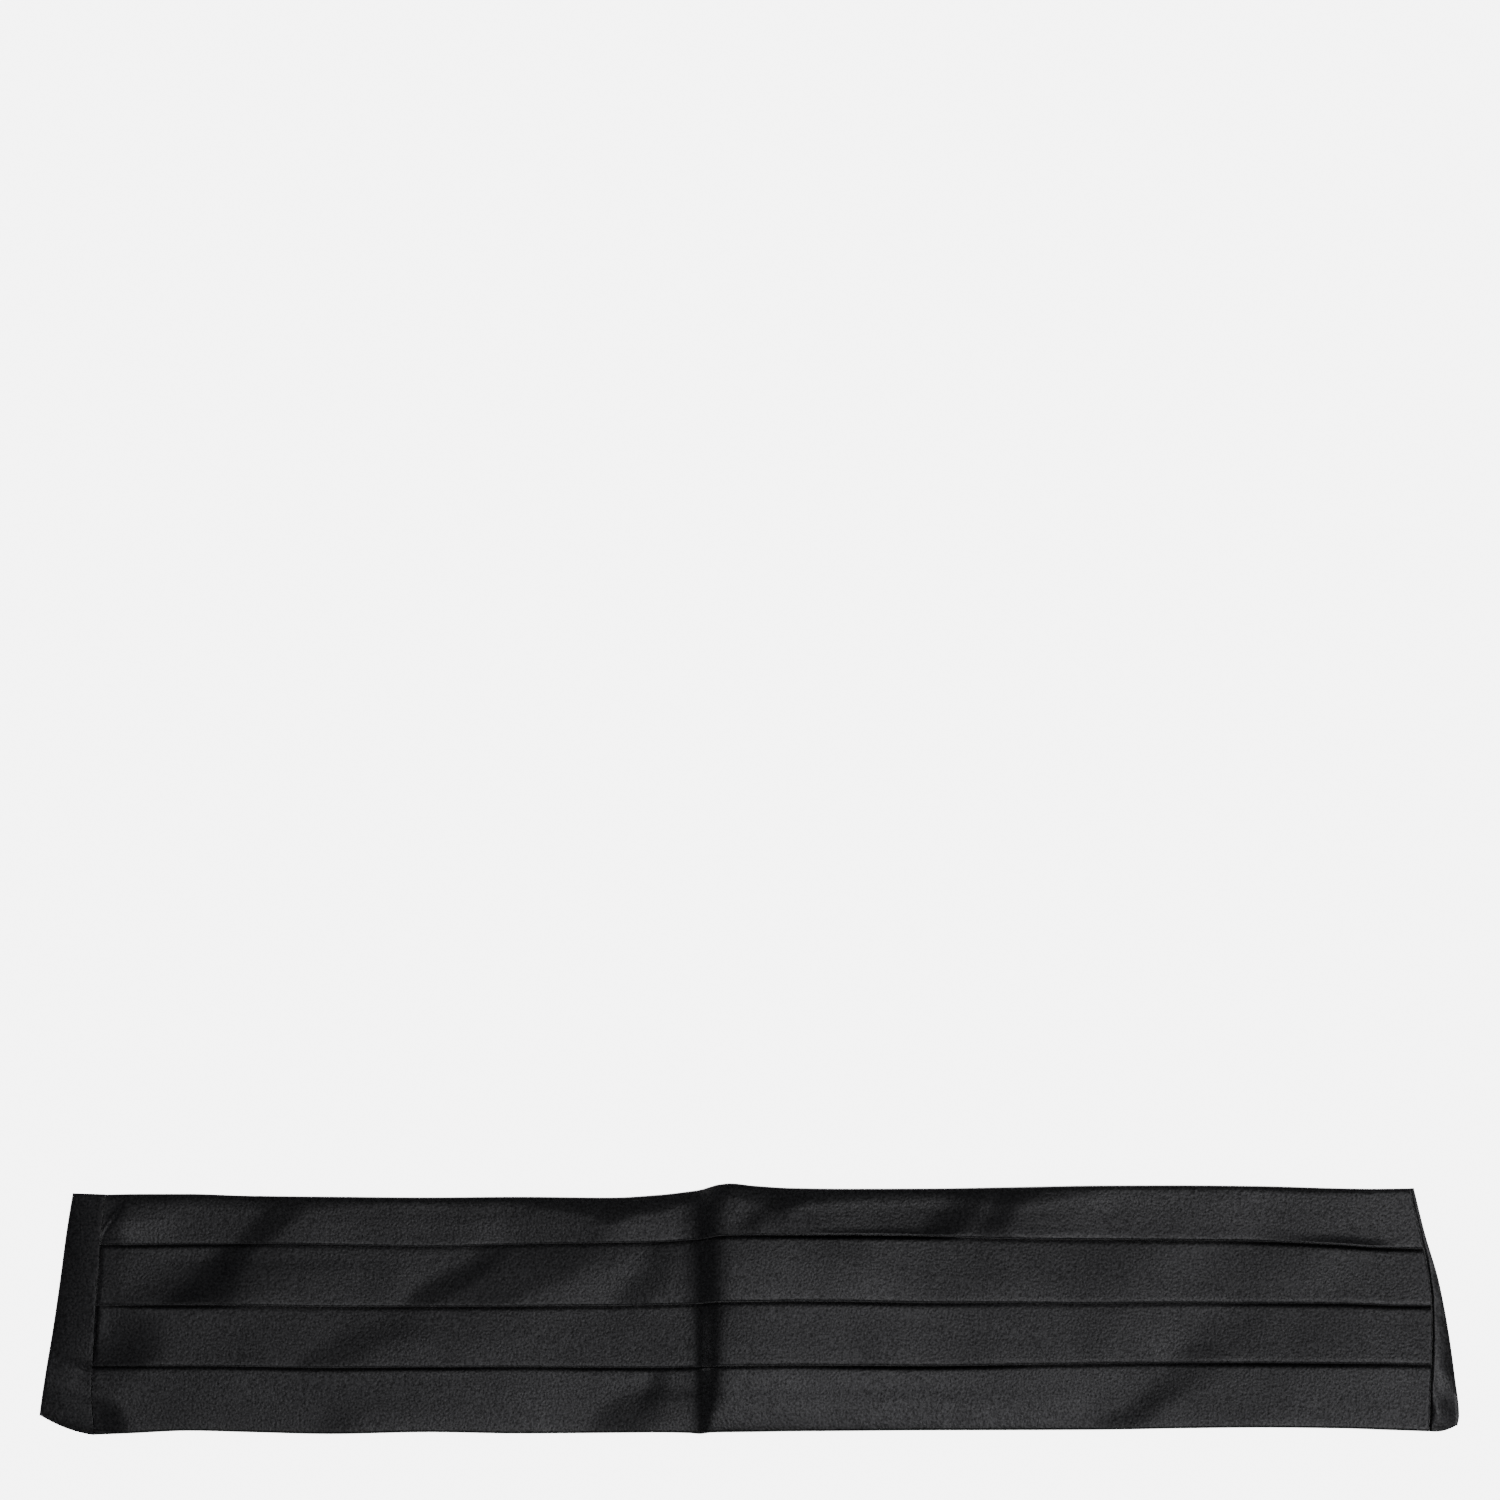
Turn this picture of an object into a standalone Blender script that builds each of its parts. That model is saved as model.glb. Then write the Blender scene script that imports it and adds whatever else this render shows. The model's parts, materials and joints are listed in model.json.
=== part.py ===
"""A black satin cummerbund, laid flat with both tapered ends folded under.

The front is one cloth with three knife pleats, so it shows four bands. A tapered end piece is sewn to
each end of it, folded under along a slanted line, and goes on beneath the front to a short strap with a
flat hook or its bar. Everything lies on the plane Z = 0. +X runs along the front to the right, +Y
towards its upper edge, and the origin is under the middle of the whole.

Sizes are in millimetres, and become metres where the meshes are made.
"""

import math
from collections import namedtuple

import bpy
from mathutils import Matrix

MM = 0.001

# Cloth, pleats and seams
WALL = 1.0
LAYER_GAP = 0.3
SEAM_GAP = 0.3
PLEAT_DEPTH = 14.0
HEM = 7.5
FOLD_RADIUS = (WALL + LAYER_GAP) / 2
LAYER = WALL + LAYER_GAP
STATION_SPACING = 22.0
SHOWN_ARC_STEPS = 4
HIDDEN_ARC_STEPS = 3
SHARP_ANGLE = 40.0
RISE_LENGTH = 7.0
BAND_RISE = 1.1
EDGE_RISE = 0.6
BAND_CROWN = 0.1

# End pieces
END_FOLD_RADIUS = 0.9
END_SEAM_HEIGHT = 3.0
END_SEAM_RUN = 12.0
END_RIBS = 13
END_SHOWN_STEPS = 3
BOW_FADE = 4
END_HIDDEN_STEPS = 6

# Straps and their metal
STRAP_WIDTH = 28.0
STRAP_LENGTH = 45.0
STRAP_THICK = 1.2
STRAP_SLOPE = 14.0
METAL_THICK = 0.8
METAL_LAP = 8.0
HOOK_WIDTH = 12.0
HOOK_REACH = 6.0
HOOK_TONGUE = 4.5
BAR_WIDTH = 20.0
BAR_REACH = 9.0
SLOT_WIDTH = 14.0
SLOT_LENGTH = 3.0
SLOT_START = 3.0
STRAP_EDGE = 0.3
METAL_EDGE = 0.2

# How the front lies over what is under it
LIFT_OVER_CLOTH = 1.6
LIFT_OVER_METAL = 2.7
LIFT_MARGIN = 18.0
LIFT_FALL = 30.0
CREASE_FULL_Y = -25.0
CREASE_EDGE_SHARE = 0.35
SEAM_REACH = 60.0

# The front from its left seam to its right: the upper edge, the three fold edges and the lower edge
Section = namedtuple("Section", "x top fold1 fold2 fold3 bottom")
SECTIONS = [
    Section(-326.0, 57.3, 31.9, 1.5, -28.6, -63.0),
    Section(-309.0, 57.6, 32.0, 1.7, -28.6, -62.3),
    Section(-280.0, 57.6, 32.3, 1.9, -28.6, -61.0),
    Section(-250.0, 56.7, 32.4, 1.6, -28.9, -61.7),
    Section(-210.0, 56.3, 31.9, 0.9, -29.5, -62.6),
    Section(-160.0, 55.9, 31.0, 1.1, -29.2, -61.7),
    Section(-115.0, 56.2, 32.1, 1.2, -29.1, -62.4),
    Section(-70.0, 55.8, 32.9, 1.4, -29.4, -62.1),
    Section(-45.0, 57.2, 33.3, 1.9, -29.5, -61.9),
    Section(-30.0, 58.9, 34.3, 2.3, -29.2, -62.2),
    Section(-24.8, 59.7, 34.7, 2.5, -29.1, -62.6),
    Section(-20.3, 61.0, 35.5, 2.9, -28.9, -62.0),
    Section(-15.8, 62.3, 36.4, 3.4, -28.6, -61.8),
    Section(-9.3, 63.0, 36.7, 3.5, -28.5, -61.7),
    Section(1.3, 61.9, 36.9, 3.5, -28.4, -61.6),
    Section(20.3, 60.7, 36.9, 3.8, -28.2, -61.3),
    Section(50.0, 60.3, 36.9, 3.6, -28.4, -61.1),
    Section(90.0, 60.4, 36.3, 2.9, -28.6, -60.8),
    Section(130.0, 61.1, 34.9, 2.8, -28.1, -60.7),
    Section(175.0, 61.9, 34.4, 2.5, -27.5, -60.5),
    Section(215.0, 62.0, 34.1, 2.9, -27.1, -59.8),
    Section(255.0, 61.6, 33.6, 2.8, -27.1, -59.4),
    Section(295.0, 60.5, 31.9, 2.6, -27.4, -59.8),
    Section(320.0, 60.2, 30.4, 1.7, -27.6, -60.6),
    Section(340.0, 60.4, 29.9, 1.4, -28.1, -61.3),
]

# The two seams between the front and the end pieces
Seam = namedtuple("Seam", "y left right")
SEAMS = [
    Seam(-63.0, -327.4, 339.8),
    Seam(-50.0, -328.7, 340.2),
    Seam(-36.0, -329.0, 340.7),
    Seam(-25.0, -328.3, 341.2),
    Seam(-5.0, -327.3, 341.4),
    Seam(9.0, -326.3, 340.7),
    Seam(20.0, -325.4, 339.2),
    Seam(30.0, -324.8, 337.2),
    Seam(45.0, -323.3, 333.6),
    Seam(60.5, -322.0, 329.9),
]

# The outermost lines of the two slanted end folds
EndFold = namedtuple("EndFold", "y left right")
END_FOLDS = [
    EndFold(-58.4, -355.5, 354.0),
    EndFold(-53.6, -355.1, 354.9),
    EndFold(-33.6, -352.3, 352.7),
    EndFold(-9.6, -348.3, 349.3),
    EndFold(14.4, -344.8, 344.6),
    EndFold(38.4, -341.6, 337.6),
    EndFold(60.4, -338.0, 332.2),
]

# Height of the cloth about the pressed crease, by distance to the right of its valley
CREASE_X = -24.8
CreaseRow = namedtuple("CreaseRow", "away lift")
CREASE = [
    CreaseRow(-70.0, 0.0),
    CreaseRow(-30.0, 0.7),
    CreaseRow(-12.0, 1.1),
    CreaseRow(-5.2, 0.8),
    CreaseRow(0.0, 0.3),
    CreaseRow(4.5, 1.4),
    CreaseRow(9.0, 2.7),
    CreaseRow(15.5, 3.2),
    CreaseRow(26.0, 2.9),
    CreaseRow(45.0, 2.2),
    CreaseRow(75.0, 1.3),
    CreaseRow(115.0, 0.4),
    CreaseRow(155.0, 0.0),
]

# The lift of the front at one place across a section
Knot = namedtuple("Knot", "y lift")

# Soft ridges that run aslant over the bands: a short flank on the upper left, a long fall on the lower right
Ridge = namedtuple("Ridge", "x_high y_high x_low y_low flank fall height")
RIDGES = [
    Ridge(-228.0, 58.0, -282.0, 2.0, 20.0, 60.0, 1.3),
    Ridge(-112.0, 34.0, -200.0, -28.0, 26.0, 70.0, 1.5),
    Ridge(-45.0, -22.0, -80.0, -62.0, 16.0, 30.0, 0.8),
    Ridge(134.0, 60.0, 92.0, 34.0, 18.0, 55.0, 1.2),
    Ridge(258.0, 34.0, 184.0, -58.0, 26.0, 70.0, 1.0),
]

# What differs between the two end pieces: side is -1 at the left and 1 at the right
EndSizes = namedtuple("EndSizes", "column side seam_low seam_high fold_low fold_high bow neck_x neck_y")
END_LEFT = EndSizes("left", -1, -63.1, 57.4, -53.4, 57.9, 1.6, -257.6, -44.0)
END_RIGHT = EndSizes("right", 1, -61.2, 60.4, -58.4, 60.4, 1.2, 258.0, -46.0)

Finish = namedtuple("Finish", "name colour roughness metallic")
SATIN = Finish("black_satin", (0.010, 0.010, 0.012, 1.0), 0.42, 0.0)
WEBBING = Finish("black_webbing", (0.012, 0.012, 0.013, 1.0), 0.8, 0.0)
METAL = Finish("black_metal", (0.05, 0.05, 0.05, 1.0), 0.35, 1.0)


def ease(share):
    """Smooth step from 0 to 1, held outside that range."""
    share = min(max(share, 0.0), 1.0)
    return share * share * (3.0 - 2.0 * share)


def lerp(a, b, share):
    """The value between a and b."""
    return a + (b - a) * share


def read(table, key, value, at):
    """One column of a table at a place between its rows, on a curve that never overshoots them."""
    keys = [getattr(row, key) for row in table]
    values = [getattr(row, value) for row in table]
    if at <= keys[0]:
        return values[0]
    if at >= keys[-1]:
        return values[-1]
    slopes = [(values[i + 1] - values[i]) / (keys[i + 1] - keys[i]) for i in range(len(keys) - 1)]
    tangents = [slopes[0]]
    for before, after in zip(slopes, slopes[1:]):
        same_way = before * after > 0
        tangents.append(2.0 * before * after / (before + after) if same_way else 0.0)
    tangents.append(slopes[-1])
    i = max(k for k in range(len(keys) - 1) if keys[k] <= at)
    width = keys[i + 1] - keys[i]
    t = (at - keys[i]) / width
    start = values[i] * (1 + 2 * t) * (1 - t) ** 2 + values[i + 1] * t * t * (3 - 2 * t)
    return start + width * (tangents[i] * t * (1 - t) ** 2 + tangents[i + 1] * t * t * (t - 1))


def read_straight(knots, y):
    """The lift at a place between knots, on straight lines from knot to knot."""
    for near, far in zip(knots, knots[1:]):
        if y <= far.y or far is knots[-1]:
            return lerp(near.lift, far.lift, (y - near.y) / (far.y - near.y))
    return knots[0].lift


def arc(centre_a, centre_b, radius, first, last, steps):
    """Points on an arc about a centre, from one angle in degrees to another."""
    angles = [math.radians(lerp(first, last, k / steps)) for k in range(steps + 1)]
    return [(centre_a + radius * math.cos(a), centre_b + radius * math.sin(a)) for a in angles]


def neck(end):
    """The narrow end of an end piece: its lower corner, its upper corner and the way the strap runs."""
    slope = math.radians(STRAP_SLOPE)
    across = (-end.side * math.sin(slope), math.cos(slope))
    along = (-end.side * math.cos(slope), -math.sin(slope))
    low = (end.neck_x, end.neck_y)
    high = (low[0] + across[0] * STRAP_WIDTH, low[1] + across[1] * STRAP_WIDTH)
    return low, high, along


def strap_frame(end):
    """The middle of the strap's outer end, and the way the strap runs."""
    low, high, along = neck(end)
    reach = SEAM_GAP + STRAP_LENGTH
    middle = ((low[0] + high[0]) / 2, (low[1] + high[1]) / 2)
    return (middle[0] + along[0] * reach, middle[1] + along[1] * reach), along


def strap_outline(end, start, finish, width):
    """A rectangle in line with the strap, from one distance beyond its outer end to another."""
    tip, along = strap_frame(end)
    across = (-along[1], along[0])
    corners = []
    for reach, half in ((start, width / 2), (start, -width / 2), (finish, -width / 2), (finish, width / 2)):
        corners.append((tip[0] + along[0] * reach + across[0] * half,
                        tip[1] + along[1] * reach + across[1] * half))
    return corners


def footprints():
    """Outlines of what lies under the front, each with the height that the front keeps over it."""
    areas = []
    for end, metal_reach in ((END_LEFT, HOOK_REACH), (END_RIGHT, BAR_REACH)):
        low, high, _ = neck(end)
        fold_low = (read(END_FOLDS, "y", end.column, end.fold_low), end.fold_low)
        fold_high = (read(END_FOLDS, "y", end.column, end.fold_high), end.fold_high)
        areas.append(([fold_high, fold_low, low, high], LIFT_OVER_CLOTH))
        areas.append((strap_outline(end, -STRAP_LENGTH, 0.0, STRAP_WIDTH), LIFT_OVER_CLOTH))
        areas.append((strap_outline(end, -METAL_LAP, metal_reach, BAR_WIDTH), LIFT_OVER_METAL))
    return areas


def distance_outside(corners, x, y):
    """How far a point lies outside a convex outline, and negative inside it."""
    middle_x = sum(c[0] for c in corners) / len(corners)
    middle_y = sum(c[1] for c in corners) / len(corners)
    farthest = -math.inf
    for (ax, ay), (bx, by) in zip(corners, corners[1:] + corners[:1]):
        length = math.hypot(bx - ax, by - ay)
        normal_x = (by - ay) / length
        normal_y = -(bx - ax) / length
        outward = -1.0 if (middle_x - ax) * normal_x + (middle_y - ay) * normal_y > 0 else 1.0
        farthest = max(farthest, outward * ((x - ax) * normal_x + (y - ay) * normal_y))
    return farthest


def ridge_lift(ridge, x, y):
    """Height that one slanting ridge adds at a point."""
    run_x = ridge.x_low - ridge.x_high
    run_y = ridge.y_low - ridge.y_high
    length = math.hypot(run_x, run_y)
    along = ((x - ridge.x_high) * run_x + (y - ridge.y_high) * run_y) / length
    across = ((x - ridge.x_high) * -run_y + (y - ridge.y_high) * run_x) / length
    half = ridge.flank / 2
    ends = ease((along + ridge.flank) / ridge.flank) * ease((length + ridge.flank - along) / ridge.flank)
    side = ease((across + half) / ridge.flank) * ease(1.0 - (across - half) / ridge.fall)
    return ridge.height * ends * side


def front_lift(x, y, areas):
    """How high the underside of the front stands over the plane it lies on."""
    over_pieces = 0.0
    for corners, height in areas:
        outside = distance_outside(corners, x, y) - LIFT_MARGIN
        over_pieces = max(over_pieces, height * ease(1.0 - outside / LIFT_FALL))
    fade = ease((CREASE_FULL_Y - y) / (CREASE_FULL_Y - SECTIONS[0].bottom))
    crease = read(CREASE, "away", "lift", x - CREASE_X) * lerp(1.0, CREASE_EDGE_SHARE, fade)
    ridges = sum(ridge_lift(ridge, x, y) for ridge in RIDGES)
    return over_pieces + crease + ridges


def front_path(x):
    """The front's cloth in one section across it.

    Returns its (y, z) points from one raw edge to the other, and the places across the section between
    which every layer runs straight, so that layers on each other keep their distance.
    """
    low = WALL / 2
    middle = low + LAYER
    high = middle + LAYER
    inset = FOLD_RADIUS + WALL / 2
    top, bottom = (read(SECTIONS, "x", edge, x) for edge in ("top", "bottom"))
    folds = [read(SECTIONS, "x", fold, x) for fold in ("fold1", "fold2", "fold3")]

    upper_hem = top - HEM
    path = [(upper_hem, low)]
    path += arc(top - inset, low + FOLD_RADIUS, FOLD_RADIUS, -90, 90, HIDDEN_ARC_STEPS)
    path.append((upper_hem, middle + BAND_CROWN))
    knots = [top - inset, upper_hem]
    for fold, below in zip(folds, folds[1:] + [None]):
        outer = fold + inset
        inner = fold + PLEAT_DEPTH - inset
        path.append((inner, high + BAND_CROWN))
        path.append(((inner + outer) / 2, high + BAND_CROWN))
        path += arc(outer, middle + FOLD_RADIUS, FOLD_RADIUS, 90, 270, SHOWN_ARC_STEPS)
        path += arc(inner, low + FOLD_RADIUS, FOLD_RADIUS, 90, -90, HIDDEN_ARC_STEPS)
        path.append((outer, low))
        if below is None:
            reach, lifted = bottom + HEM + RISE_LENGTH, low + EDGE_RISE
        else:
            reach, lifted = below + PLEAT_DEPTH + RISE_LENGTH, low + BAND_RISE
        halfway = (fold + reach) / 2
        path += [(halfway, low + BAND_RISE / 3), (reach, lifted)]
        knots += [inner, outer, halfway, reach]
    lower_hem = bottom + HEM
    path += [(lower_hem, middle), (bottom + HEM / 2, middle + BAND_CROWN)]
    path += arc(bottom + inset, low + FOLD_RADIUS, FOLD_RADIUS, 90, 270, SHOWN_ARC_STEPS)
    path.append((lower_hem, low))
    knots += [lower_hem, bottom + inset]
    return path, knots


def front_stations():
    """Places of the sections along X: every row of the table, with the wide steps divided."""
    places = [SECTIONS[0].x]
    for before, after in zip(SECTIONS, SECTIONS[1:]):
        steps = math.ceil((after.x - before.x) / STATION_SPACING)
        places += [lerp(before.x, after.x, k / steps) for k in range(1, steps + 1)]
    return places


def shift_to_seams(x, y):
    """A section's place along X at one height across it, bent to the slant of the nearer seam."""
    first = SECTIONS[0].x
    last = SECTIONS[-1].x
    to_left = read(SEAMS, "y", "left", y) + SEAM_GAP / 2 - first
    to_right = read(SEAMS, "y", "right", y) - SEAM_GAP / 2 - last
    return x + to_left * ease(1.0 - (x - first) / SEAM_REACH) + to_right * ease(1.0 - (last - x) / SEAM_REACH)


def front_rows():
    """The front's cloth as a grid of points, one row for each section."""
    areas = footprints()
    rows = []
    for x in front_stations():
        path, knots = front_path(x)
        lifts = [Knot(y, front_lift(shift_to_seams(x, y), y, areas)) for y in sorted(knots)]
        rows.append([(shift_to_seams(x, y), y, z + read_straight(lifts, y)) for y, z in path])
    return rows


def end_rows(end):
    """An end piece as a grid of points, one row for each rib from its lower edge to its upper."""
    neck_low, neck_high, _ = neck(end)
    low = WALL / 2
    inset = END_FOLD_RADIUS + WALL / 2
    fold_top = low + 2 * END_FOLD_RADIUS
    rows = []
    for number in range(END_RIBS):
        share = number / (END_RIBS - 1)
        seam_y = lerp(end.seam_low, end.seam_high, share)
        fold_y = lerp(end.fold_low, end.fold_high, share)
        seam_x = read(SEAMS, "y", end.column, seam_y) + end.side * SEAM_GAP / 2
        fold_x = read(END_FOLDS, "y", end.column, fold_y) - end.side * inset
        seam_height = lerp(fold_top, END_SEAM_HEIGHT, ease(abs(fold_x - seam_x) / END_SEAM_RUN))
        row = []
        for k in range(END_SHOWN_STEPS):
            out = k / END_SHOWN_STEPS
            bow = end.bow * 4 * out * (1 - out) * (1 - share) ** BOW_FADE
            height = lerp(seam_height, fold_top, ease(out))
            row.append((lerp(seam_x, fold_x, out), lerp(seam_y, fold_y, out) - bow, height))
        for out_x, z in arc(0.0, low + END_FOLD_RADIUS, END_FOLD_RADIUS, 90, -90, SHOWN_ARC_STEPS):
            row.append((fold_x + end.side * out_x, fold_y, z))
        neck_x = lerp(neck_low[0], neck_high[0], share)
        neck_y = lerp(neck_low[1], neck_high[1], share)
        for k in range(1, END_HIDDEN_STEPS + 1):
            out = k / END_HIDDEN_STEPS
            row.append((lerp(fold_x, neck_x, out), lerp(fold_y, neck_y, out), low))
        rows.append(row)
    return rows


def add_object(collection, name, mesh, finish):
    """Put a mesh in the collection as a named object with a finish of its own."""
    material = bpy.data.materials.new(f"{name}_{finish.name}")
    material.use_nodes = True
    shader = material.node_tree.nodes["Principled BSDF"]
    shader.inputs["Base Color"].default_value = finish.colour
    shader.inputs["Roughness"].default_value = finish.roughness
    shader.inputs["Metallic"].default_value = finish.metallic
    mesh.materials.append(material)
    thing = bpy.data.objects.new(name, mesh)
    collection.objects.link(thing)
    return thing


def add_sheet(collection, name, rows, thickness, finish):
    """A wall of even thickness about a grid of points.

    Every cell is halved along the same way in plan, whichever way its layer runs, so that two layers
    on each other bend alike.
    """
    width = len(rows[0])
    points = [tuple(c * MM for c in point) for row in rows for point in row]
    faces = []
    for r in range(len(rows) - 1):
        for c in range(width - 1):
            near, near_next = r * width + c, r * width + c + 1
            far, far_next = near + width, near_next + width
            if rows[r][c + 1][1] < rows[r][c][1]:
                faces += [(near, near_next, far_next), (near, far_next, far)]
            else:
                faces += [(near, near_next, far), (near_next, far_next, far)]
    mesh = bpy.data.meshes.new(name)
    mesh.from_pydata(points, [], faces)
    mesh.shade_smooth()
    mesh.set_sharp_from_angle(angle=math.radians(SHARP_ANGLE))
    sheet = add_object(collection, name, mesh, finish)
    wall = sheet.modifiers.new("wall", "SOLIDIFY")
    wall.thickness = thickness * MM
    wall.offset = 0.0
    wall.use_even_offset = True
    wall.use_quality_normals = True
    return sheet


def add_box(collection, name, size, finish):
    """A box about its own middle, from the cube primitive."""
    bpy.ops.mesh.primitive_cube_add(size=1.0)
    made = bpy.context.object
    mesh = made.data
    bpy.data.objects.remove(made)
    mesh.transform(Matrix.Diagonal((size[0] * MM, size[1] * MM, size[2] * MM, 1.0)))
    return add_object(collection, name, mesh, finish)


def soften(thing, width):
    """Cut an object's sharp edges off by a small flat."""
    edges = thing.modifiers.new("soft_edges", "BEVEL")
    edges.width = width * MM
    edges.segments = 1


def place_on_strap(thing, end, along_mm, z_mm):
    """Turn an object to the strap's direction and set it that far beyond the strap's outer end."""
    tip, along = strap_frame(end)
    thing.location = ((tip[0] + along[0] * along_mm) * MM, (tip[1] + along[1] * along_mm) * MM, z_mm * MM)
    thing.rotation_euler = (0.0, 0.0, math.atan2(along[1], along[0]))


def add_front(collection):
    """The pleated front."""
    return add_sheet(collection, "front_pleated", front_rows(), WALL, SATIN)


def add_end_panel(collection, end):
    """One tapered end piece, folded under."""
    return add_sheet(collection, f"end_panel_{end.column}", end_rows(end), WALL, SATIN)


def add_strap(collection, end):
    """One plain back strap, flat beneath the front."""
    strap = add_box(collection, f"back_strap_{end.column}", (STRAP_LENGTH, STRAP_WIDTH, STRAP_THICK), WEBBING)
    place_on_strap(strap, end, -STRAP_LENGTH / 2, STRAP_THICK / 2)
    soften(strap, STRAP_EDGE)
    return strap


def add_hook(collection):
    """A flat hook: a plate on the left strap, with its tongue turned back below it."""
    plate = STRAP_THICK + LAYER_GAP + METAL_THICK / 2
    tongue = METAL_THICK
    radius = (plate - tongue) / 2
    profile = [(-METAL_LAP, plate), (0.0, plate)]
    profile += arc(HOOK_REACH - radius - METAL_THICK / 2, tongue + radius, radius, 90, -90, SHOWN_ARC_STEPS)
    profile.append((HOOK_REACH - HOOK_TONGUE, tongue))
    rows = [[(s, w, z) for s, z in profile] for w in (-HOOK_WIDTH / 2, 0.0, HOOK_WIDTH / 2)]
    hook = add_sheet(collection, "strap_hook", rows, METAL_THICK, METAL)
    place_on_strap(hook, END_LEFT, 0.0, 0.0)
    return hook


def add_bar(collection, cutters):
    """The plate on the right strap, with the slot whose outer rim is the bar."""
    length = METAL_LAP + BAR_REACH
    height = STRAP_THICK + LAYER_GAP + METAL_THICK / 2
    plate = add_box(collection, "strap_bar", (length, BAR_WIDTH, METAL_THICK), METAL)
    place_on_strap(plate, END_RIGHT, (BAR_REACH - METAL_LAP) / 2, height)
    slot = add_box(cutters, "slot_cutter", (SLOT_LENGTH, SLOT_WIDTH, METAL_THICK * 3), METAL)
    place_on_strap(slot, END_RIGHT, SLOT_START + SLOT_LENGTH / 2, height)
    slot.hide_render = True
    slot.display_type = "WIRE"
    soften(plate, METAL_EDGE)
    cut = plate.modifiers.new("slot", "BOOLEAN")
    cut.operation = "DIFFERENCE"
    cut.object = slot
    return plate


def main():
    """Clear the scene and build every piece."""
    for thing in list(bpy.data.objects):
        bpy.data.objects.remove(thing)
    collection = bpy.data.collections.new("cummerbund")
    cutters = bpy.data.collections.new("cutters")
    for group in (collection, cutters):
        bpy.context.scene.collection.children.link(group)
    add_front(collection)
    for end in (END_LEFT, END_RIGHT):
        add_end_panel(collection, end)
        add_strap(collection, end)
    add_hook(collection)
    add_bar(collection, cutters)


main()
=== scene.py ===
"""Looks of a black satin cummerbund, laid flat with both tapered ends folded under.

The shapes are in millimetres, in the frame of the solids: +X along the front to the right, +Y towards its
upper edge, and Z = 0 the plane that it lies on. They become metres where a mesh is made.
"""

import json
import logging
import math
from dataclasses import dataclass, field
from enum import Enum
from typing import NamedTuple

import bpy
import numpy as np
from bpy.types import ID, Material, Node, NodeSocket, NodeTree, Object
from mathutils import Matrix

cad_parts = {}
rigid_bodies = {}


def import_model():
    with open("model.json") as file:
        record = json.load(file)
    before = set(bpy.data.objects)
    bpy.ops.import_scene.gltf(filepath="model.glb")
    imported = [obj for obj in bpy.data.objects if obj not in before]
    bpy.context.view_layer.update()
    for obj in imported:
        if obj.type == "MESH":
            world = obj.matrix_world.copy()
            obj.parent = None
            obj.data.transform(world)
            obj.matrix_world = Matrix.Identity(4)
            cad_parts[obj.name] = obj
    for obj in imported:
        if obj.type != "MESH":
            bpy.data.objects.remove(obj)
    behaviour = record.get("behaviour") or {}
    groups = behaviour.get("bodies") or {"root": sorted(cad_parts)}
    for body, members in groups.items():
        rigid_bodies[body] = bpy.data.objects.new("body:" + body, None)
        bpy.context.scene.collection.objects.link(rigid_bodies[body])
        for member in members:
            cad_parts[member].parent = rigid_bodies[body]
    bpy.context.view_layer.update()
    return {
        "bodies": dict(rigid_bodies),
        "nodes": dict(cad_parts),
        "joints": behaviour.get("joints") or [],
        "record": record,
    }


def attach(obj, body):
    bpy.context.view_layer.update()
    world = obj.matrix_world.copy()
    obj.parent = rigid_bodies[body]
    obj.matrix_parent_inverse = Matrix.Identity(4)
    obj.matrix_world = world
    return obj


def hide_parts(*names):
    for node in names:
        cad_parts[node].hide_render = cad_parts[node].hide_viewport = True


LOG = logging.getLogger("cummerbund")
MM = 0.001
BODY = "root"
Grid = np.ndarray
Pair = tuple[float, float]
Triple = tuple[float, float, float]


# ---- Reading tables ----


def ease(share: Grid) -> Grid:
    """Smooth step from 0 to 1, held outside that range."""
    held = np.clip(share, 0.0, 1.0)
    return held * held * (3.0 - 2.0 * held)


def ramp(share: Grid, soft: float = 0.25) -> Grid:
    """An even climb from 0 to 1, soft over a share of it at each end and held outside that range."""
    held = np.clip(share, 0.0, 1.0)
    start, end = np.minimum(held, soft), np.clip(held - (1.0 - soft), 0.0, soft)
    bends = (start * start - end * end) / (2.0 * soft)
    return (bends + np.clip(held - soft, 0.0, 1.0 - 2.0 * soft) + end) / (1.0 - soft)


def lerp(start: Grid, end: Grid, share: Grid) -> Grid:
    """The value between start and end."""
    return start + (end - start) * share


def hump(away: Grid, width: float) -> Grid:
    """A soft round hump of height 1 about zero."""
    return np.exp(-(away / width) ** 2)


@dataclass(frozen=True)
class Curve:
    """A table of (place, value) rows, read on a smooth curve that never overshoots them."""

    rows: tuple[Pair, ...]

    def at(self, places: Grid) -> Grid:
        """Read the curve.

        Args:
            places: Where to read it; places beyond the ends take the end rows.

        Returns:
            The values there, in the shape of places.
        """
        keys, values = np.array(self.rows, float).T
        slopes = np.diff(values) / np.diff(keys)
        before, after = slopes[:-1], slopes[1:]
        same_way = before * after > 0.0
        total = np.where(same_way, before + after, 1.0)
        inner = np.where(same_way, 2.0 * before * after / total, 0.0)
        tangents = np.concatenate(([slopes[0]], inner, [slopes[-1]]))
        held = np.clip(np.asarray(places, float), keys[0], keys[-1])
        i = np.clip(np.searchsorted(keys, held, side="right") - 1, 0, len(keys) - 2)
        width = keys[i + 1] - keys[i]
        t = (held - keys[i]) / width
        ends = values[i] * (1 + 2 * t) * (1 - t) ** 2 + values[i + 1] * t * t * (3 - 2 * t)
        return ends + width * (tangents[i] * t * (1 - t) ** 2 + tangents[i + 1] * t * t * (t - 1))


def curve(rows: list, key: str, value: str) -> Curve:
    """One column of a table against another, as a curve."""
    return Curve(tuple((getattr(row, key), getattr(row, value)) for row in rows))


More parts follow.
